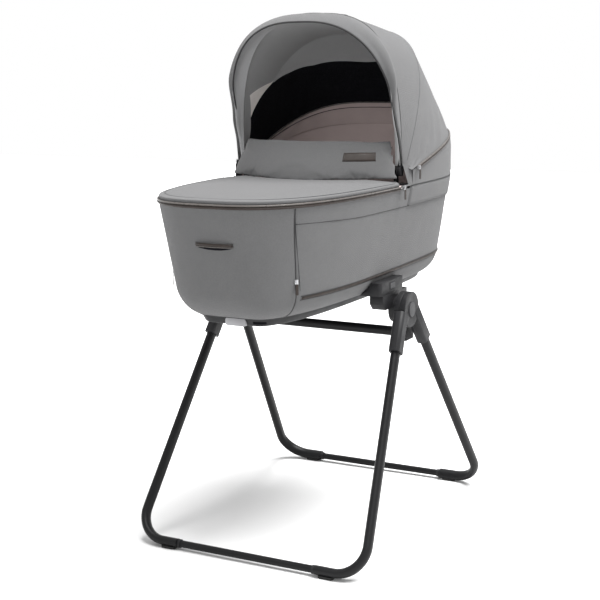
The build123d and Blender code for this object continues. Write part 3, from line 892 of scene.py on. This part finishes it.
def make_hinge_covers():
    """A fabric tab on each side, from the collar up over the canopy's hinge."""
    for side, way in (("right", 1), ("left", -1)):
        rows = []
        for share in steps(0, 1, 10):
            front = Vector((222, 50, RIM_Z + 4)).lerp(Vector((211, 40, HINGE_Z + 18)), share)
            rear = Vector((225.5, 82, RIM_Z + 4)).lerp(Vector((222, 76, HINGE_Z + 7)), share)
            row = []
            for across in steps(0, 1, 12):
                point = front.lerp(rear, across)
                point.x += 1.6 * math.sin(math.pi * across)
                row.append(Vector((way * point.x, point.y, point.z)))
            rows.append(row)
        finish_piece(surface(f"hinge_cover_{side}", rows, "fabric"), "bassinet")


def from_table(table):
    knots = [k for k, _ in table]
    values = [v for _, v in table]

    def read(turn):
        return float(np.interp(min(turn, 180 - turn), knots, values))

    return read


# The lining's borders, as (turn from the hinge, lean angle): grey in front, then the net, then taupe.
BORDER_SIDE = [(0, 32), (4.8, 30), (10.7, 18.4)]
BORDER_TOP = [(29.9, 34.4), (42, 40), (60, 45.5), (90, LINING_TOP_ANGLE)]
grey_edge = from_table(BORDER_SIDE + [(19.6, 7.4)] + BORDER_TOP)
net_edge = from_table(BORDER_SIDE + BORDER_TOP)


def lining_inward(angle):
    """How far the lining hangs inside the fabric, with a soft ridge under the front hoop."""
    ridge = 3.0 * math.exp(-(((angle - FRONT[0]) / 2.2) ** 2))
    return 2.0 + 11.0 * smooth_step(HEM[0], HEM[0] + 9, angle) + ridge


def clipped(edge, low, high):
    return lambda turn: min(max(value(edge, turn), low), high)


def lining_strip(name, start, end, part, material):
    """One colour of the lining over one span between hoops, or nothing where they don't meet."""
    low_angle, high_angle, bodies = part
    low, high = clipped(start, low_angle, high_angle), clipped(end, low_angle, high_angle)
    if all(high(t) - low(t) < 0.05 for t in steps(0, 180, 60)):
        return
    rows = canopy_rows(low, high, lining_inward, count=16, columns=180)
    strip = surface(name, rows, material)
    stretched(strip, rows, "front_bow", "mid_bow")
    if len(bodies) == 1:
        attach(strip, bodies[0])
    else:
        angle_blend(strip)


def make_canopy_lining():
    parts = {
        "visor": (HEM[0], FRONT[0], ("canopy_front",)),
        "front": (FRONT[0], MID[0], ("canopy_mid", "canopy_front")),
        "rear": (MID[0], ZIP[0], ("bassinet", "canopy_mid")),
    }
    colours = (
        ("grey", HEM[0], grey_edge, "grey_lining_painted_light"),
        ("beige", grey_edge, net_edge, "beige"),
        ("net", net_edge, LINING_HEAD_ANGLE, "net"),
        ("taupe", LINING_HEAD_ANGLE, ZIP[0], "taupe"),
    )
    for part_name, part in parts.items():
        for colour, start, end, material in colours:
            lining_strip(f"lining_{part_name}_{colour}", start, end, part, material)


# ---- apron and wind flap ----

def flap_y(x, foot_y, end_y, half_width):
    return foot_y + (end_y - foot_y) * (x / half_width) ** 2


def apron_top(u, v):
    """A point on the apron: u runs from left to right round the foot, v from the flap out to the rim."""
    limit = ZIP_END - 0.004
    edge = tub_point(u * limit, APRON_HIGH.z, -3.0)
    half = FLAP_HIGH.x
    x = half * math.copysign(abs(u) ** 0.8, u)
    near = Vector((x, flap_y(x, FLAP_FOOT_Y, FLAP_END_Y, half) + 6, APRON_HIGH.z))
    point = near.lerp(edge, v)
    dome = 5.0 * (math.sin(math.pi * min(1.0, v * 0.55 + 0.45)) ** 0.7 if v < 1 else 0.0)
    point.z += dome * (1 - abs(u) ** 6)
    return point


def make_apron():
    """A lightly padded cover, domed, with a rolled edge and a stitched line inside it."""
    rows = []
    for v in steps(0, 1, 40):
        rows.append([apron_top(u, v) for u in steps(-1, 1, 120)])
    places = [u * (ZIP_END - 0.004) for u in steps(-1, 1, 120)]
    for turn in steps(0, math.pi / 2, 5)[1:]:
        out, drop = 2.5 * math.sin(turn), 2.5 * (1 - math.cos(turn))
        rows.append([tub_point(p, APRON_HIGH.z - drop, -3.0 + out) for p in places])
    rows.append([tub_point(p, APRON_LOW.z - 1.0, -0.3) for p in places])
    rows.append([tub_point(p, APRON_LOW.z - 1.5, -4.0) for p in places])
    pad = surface("apron_pad", rows, "fabric")
    settle(pad, lambda point: point.z > (APRON_HIGH.z + 0.4) * MM, 1.2, 3.5)
    finish_piece(pad, "apron", "apron")
    line = [apron_top(u, 0.955) + Vector((0, 0, 0.2)) for u in steps(-0.97, 0.97, 150)]
    finish_piece(tube("apron_stitch_line", line, 0.7, "seam"), "apron")


def settle(obj, free, pressure, cap):
    """Swells the free part of an open padded surface by cloth simulation, with the rest pinned."""
    group = obj.vertex_groups.new(name="pinned")
    group.add([v.index for v in obj.data.vertices if not free(v.co)], 1.0, "REPLACE")
    swell(obj, pressure, cap, group.name)
    obj.vertex_groups.clear()


def swell(obj, pressure, cap, pinned=""):
    """Runs the cloth for 20 frames, then keeps each point within cap millimetres of where it began."""
    before = [v.co.copy() for v in obj.data.vertices]
    cloth = obj.modifiers.new("cloth", "CLOTH")
    cloth.settings.quality = 5
    cloth.settings.mass = 0.3
    cloth.settings.tension_stiffness = 15
    cloth.settings.bending_stiffness = 0.8
    cloth.settings.use_pressure = True
    cloth.settings.uniform_pressure_force = pressure
    cloth.settings.vertex_group_mass = pinned
    cloth.settings.effector_weights.gravity = 0
    cloth.point_cache.frame_start, cloth.point_cache.frame_end = 1, 20
    for number in range(1, 21):
        bpy.context.scene.frame_set(number)
    graph = bpy.context.evaluated_depsgraph_get()
    after = [v.co.copy() for v in obj.evaluated_get(graph).data.vertices]
    obj.modifiers.remove(cloth)
    bpy.context.scene.frame_set(1)
    for vertex, old, new in zip(obj.data.vertices, before, after):
        move = new - old
        if move.length > cap * MM:
            move = move.normalized() * cap * MM
        vertex.co = old + move
    obj.data.update()


def puff(obj, pressure=4.0, cap=8.0, voxel=6.0):
    """The padded recipe: an even remesh, a cloth simulation under pressure, then one subdivision."""
    remesh = obj.modifiers.new("remesh", "REMESH")
    remesh.mode = "VOXEL"
    remesh.voxel_size = voxel * MM
    apply_modifiers(obj)
    swell(obj, pressure, cap)
    obj.modifiers.new("smooth", "SMOOTH").iterations = 3
    obj.modifiers.new("finer", "SUBSURF").levels = 1
    apply_modifiers(obj)
    return obj


def apply_modifiers(obj):
    graph = bpy.context.evaluated_depsgraph_get()
    mesh = bpy.data.meshes.new_from_object(obj.evaluated_get(graph))
    materials = list(obj.data.materials)
    obj.modifiers.clear()
    obj.data = mesh
    mesh.materials.clear()
    for material in materials:
        mesh.materials.append(material)
    mesh.polygons.foreach_set("use_smooth", [True] * len(mesh.polygons))


def flap_point(u, v, depth=0.0):
    """A point on the wind flap's foot face: u across from -1 to 1, v up; depth goes into the flap."""
    low_half, top_half = FLAP_HIGH.x, FLAP_TOP_HALF_WIDTH
    x_low, x_top = u * low_half, u * top_half
    low = Vector((x_low, flap_y(x_low, FLAP_FOOT_Y, FLAP_END_Y, low_half), FLAP_LOW.z))
    top = Vector((x_top, flap_y(x_top, FLAP_TOP_FOOT_Y, FLAP_TOP_END_Y, top_half), FLAP_HIGH.z))
    point = low.lerp(top, v)
    crown = 5.0 * math.sin(math.pi * v) * (1 - u**4)
    return point + Vector((0, depth - crown, 0))


def make_wind_flap():
    """A padded flap standing on the apron, swollen by cloth simulation, with a folded top edge."""
    us, vs = steps(-1.01, 1.01, 70), steps(0.02, 1.035, 20)
    front = [[flap_point(u, v, 2.0) for u in us] for v in vs]
    back = [[flap_point(u, v, 8.0) for u in us] for v in reversed(vs)]
    rows = front + back
    rows.append(rows[0])
    body = surface("wind_flap_pad", rows, "fabric")
    close_holes(body.data)
    puff(body, 3.5, 5.0, 5.0)
    finish_piece(body, "wind_flap", "wind_flap")
    seam = [flap_point(u, 0.0, 0.0) + Vector((0, 0, 0.6)) for u in steps(-1, 1, 90)]
    finish_piece(tube("wind_flap_seam", seam, 1.3, "seam"), "wind_flap")


def close_holes(mesh):
    bm = bmesh.new()
    bm.from_mesh(mesh)
    bmesh.ops.holes_fill(bm, edges=[e for e in bm.edges if e.is_boundary], sides=0)
    bmesh.ops.recalc_face_normals(bm, faces=bm.faces)
    bm.to_mesh(mesh)
    bm.free()


def make_label():
    """A plain patch with a stitched border, sewn to the flap."""
    low, high = box("flap_label")
    middle_x = (low.x + high.x) / 2
    v_middle = ((low.z + high.z) / 2 - FLAP_LOW.z) / (FLAP_HIGH.z - FLAP_LOW.z) + 0.03
    half_u, half_v = 0.165, 0.105
    u_middle = middle_x / mix(FLAP_HIGH.x, FLAP_TOP_HALF_WIDTH, v_middle) + 0.035
    rows = []
    for dv, out in ((-1.02, 1), (-1, -4.2), (-0.5, -4.6), (0, -4.7), (0.5, -4.6), (1, -4.2), (1.02, 1)):
        v = v_middle + half_v * dv
        rows.append([flap_point(u_middle + half_u * s, v, out) for s in steps(-1, 1, 20)])
    patch = surface("label_patch", rows, "brown")
    finish_piece(patch, "wind_flap", "flap_label", slot="trim_brown")
    corners = [(-0.92, -0.8), (0.92, -0.8), (0.92, 0.8), (-0.92, 0.8), (-0.92, -0.8)]
    line = [flap_point(u_middle + half_u * s, v_middle + half_v * t, -4.9) for s, t in corners]
    finish_piece(stitches("label_stitches", line, "seam", 3.0, 0.35), "wind_flap", slot="trim_brown")


def make_mattress():
    low, high = box("mattress")
    places = steps(0, 1, 160)[:-1]
    inset = 22
    z = low.z + 5
    rings = [(z, inset + 6), (z + 3, inset), (high.z - 6, inset), (high.z - 3, inset + 4),
             (high.z - 2, inset + 12)]
    rows = [[Vector((*tub_point(p, max(h, COVER_BOTTOM + 8), -i).xy, h)) for p in places] for h, i in rings]
    pad = surface("mattress_pad", rows, "beige", closed=True, ends=True)
    puff(pad, 3.0, 6.0, 8.0)
    finish_piece(pad, "bassinet", "mattress", slot="lining")


def make_carry_handle():
    """Webbing over the front bow, lifted between its two sewn ends."""
    top = canopy_point(90, FRONT[0])
    rows = []
    half = 12
    section = ((-half, 0), (-half + 0.6, 1.3), (0, 1.6), (half - 0.6, 1.3), (half, 0), (0, -0.2), (-half, 0))
    for dy, dz in section:
        row = []
        for x in steps(-78, 78, 40):
            base = top.z - 2.0 - (abs(x) / 78) ** 2 * 5.5
            lift = 2.5 * math.cos(math.pi * x / 156) ** 2
            bump = 2.5 * math.exp(-(((abs(x) - 72) / 7) ** 2))
            row.append(Vector((x, top.y + 4 + dy, base + lift + bump + dz)))
        rows.append(row)
    webbing = surface("carry_webbing", rows, "fabric")
    finish_piece(webbing, "canopy_front", "carry_handle", slot="strap")


# ---- stand ----

def dress(names, material, bevel=0.0):
    """Gives CAD nodes their material, and softens the edges of moulded ones."""
    for name in names:
        node = frame["nodes"][name]
        node.data.materials.clear()
        node.data.materials.append(MATERIALS[material])
        node.data.polygons.foreach_set("use_smooth", [True] * len(node.data.polygons))
        if bevel:
            weld = node.modifiers.new("weld", "WELD")
            weld.merge_threshold = 1e-5
            edge = node.modifiers.new("bevel", "BEVEL")
            edge.width = bevel * MM
            edge.segments = 2
            edge.limit_method = "ANGLE"
            edge.angle_limit = math.radians(35)
            edge.harden_normals = True


def named(*parts):
    return sorted(n for n in frame["nodes"] if any(p in n for p in parts))


def dress_frame():
    dress(named("_leg_", "floor_tube"), "paint")
    dress(["cross_tube"], "paint")
    dress(named("housing", "hub_bosses", "receiver", "adapter_left", "adapter_right"), "plastic", 0.9)
    dress(named("brackets", "ferrules", "bow"), "plastic")
    dress(named("fold_button", "adapter_button"), "button")
    dress(named("_feet"), "rubber")
    dress(named("vent_slider"), "tab", 0.6)
    dress(named("zip_sliders", "pivot_pins"), "silver")
    dress(["canopy_hinges"], "plastic")
    dress(named("puller"), "brown")


# ---- stage ----

def make_stage():
    mesh = bpy.data.meshes.new("floor")
    far = FLOOR_HALF_SIZE
    mesh.from_pydata([(-far, -far, 0), (far, -far, 0), (far, far, 0), (-far, far, 0)], [], [(0, 1, 2, 3)])
    floor = bpy.data.objects.new("floor", mesh)
    bpy.context.scene.collection.objects.link(floor)
    material = bpy.data.materials.new("pale_floor")
    material.use_nodes = True
    shader = material.node_tree.nodes["Principled BSDF"]
    shader.inputs["Base Color"].default_value = (FLOOR_SHADE, FLOOR_SHADE, FLOOR_SHADE, 1)
    shader.inputs["Roughness"].default_value = 0.9
    shader.inputs["Specular IOR Level"].default_value = 0.1
    mesh.materials.append(material)
    floor.location.z = -0.0005


def make_light():
    scene = bpy.context.scene
    world = bpy.data.worlds.new("studio")
    scene.world = world
    world.use_nodes = True
    background = world.node_tree.nodes["Background"]
    background.inputs["Color"].default_value = (1, 1, 1, 1)
    background.inputs["Strength"].default_value = 1.0
    key = bpy.data.lights.new("key", "SUN")
    key.energy = KEY_ENERGY
    key.angle = math.radians(KEY_SOFTNESS)
    lamp = bpy.data.objects.new("key", key)
    lamp.rotation_euler = (math.radians(KEY_TILT[0]), math.radians(KEY_TILT[1]), 0)
    scene.collection.objects.link(lamp)
    fill = bpy.data.lights.new("mouth_fill", "SPOT")
    fill.energy = FILL_POWER
    fill.spot_size = math.radians(FILL_CONE)
    fill.spot_blend = 1.0
    fill.shadow_soft_size = 0.35
    spot = bpy.data.objects.new("mouth_fill", fill)
    spot.location = FILL_PLACE
    aim = Vector((0, HINGE_Y + 160, HINGE_Z + 130)) * MM - spot.location
    spot.rotation_euler = aim.to_track_quat("-Z", "Y").to_euler()
    scene.collection.objects.link(spot)
    scene.view_settings.view_transform = "Standard"


def make_camera():
    """The photograph's viewpoint: azimuth, elevation and roll about the view's middle."""
    azimuth, elevation, roll = (math.radians(a) for a in CAMERA_ANGLES)
    forward = Vector((-math.sin(azimuth) * math.cos(elevation), math.cos(azimuth) * math.cos(elevation),
                      -math.sin(elevation)))
    right = Vector((math.cos(azimuth), math.sin(azimuth), 0))
    up = right.cross(forward)
    right_rolled = right * math.cos(roll) + up * math.sin(roll)
    up_rolled = up * math.cos(roll) - right * math.sin(roll)
    data = bpy.data.cameras.new("camera")
    data.sensor_width = 36
    data.lens = CAMERA_LENS
    camera = bpy.data.objects.new("camera", data)
    axes = Matrix((right_rolled, up_rolled, -forward)).transposed().to_4x4()
    camera.matrix_world = Matrix.Translation(CAMERA_PLACE) @ axes
    bpy.context.scene.collection.objects.link(camera)
    bpy.context.scene.camera = camera


make_cover()
make_collar()
make_rim_zip()
make_layers()
make_pan()
make_foot_handle()
make_canopy_fabric()
make_canopy_trim()
make_hood_wall()
make_canopy_lining()
make_lining_piping()
make_hinge_covers()
make_apron()
make_wind_flap()
make_label()
make_mattress()
make_carry_handle()
dress_frame()
make_stage()
make_light()
make_camera()
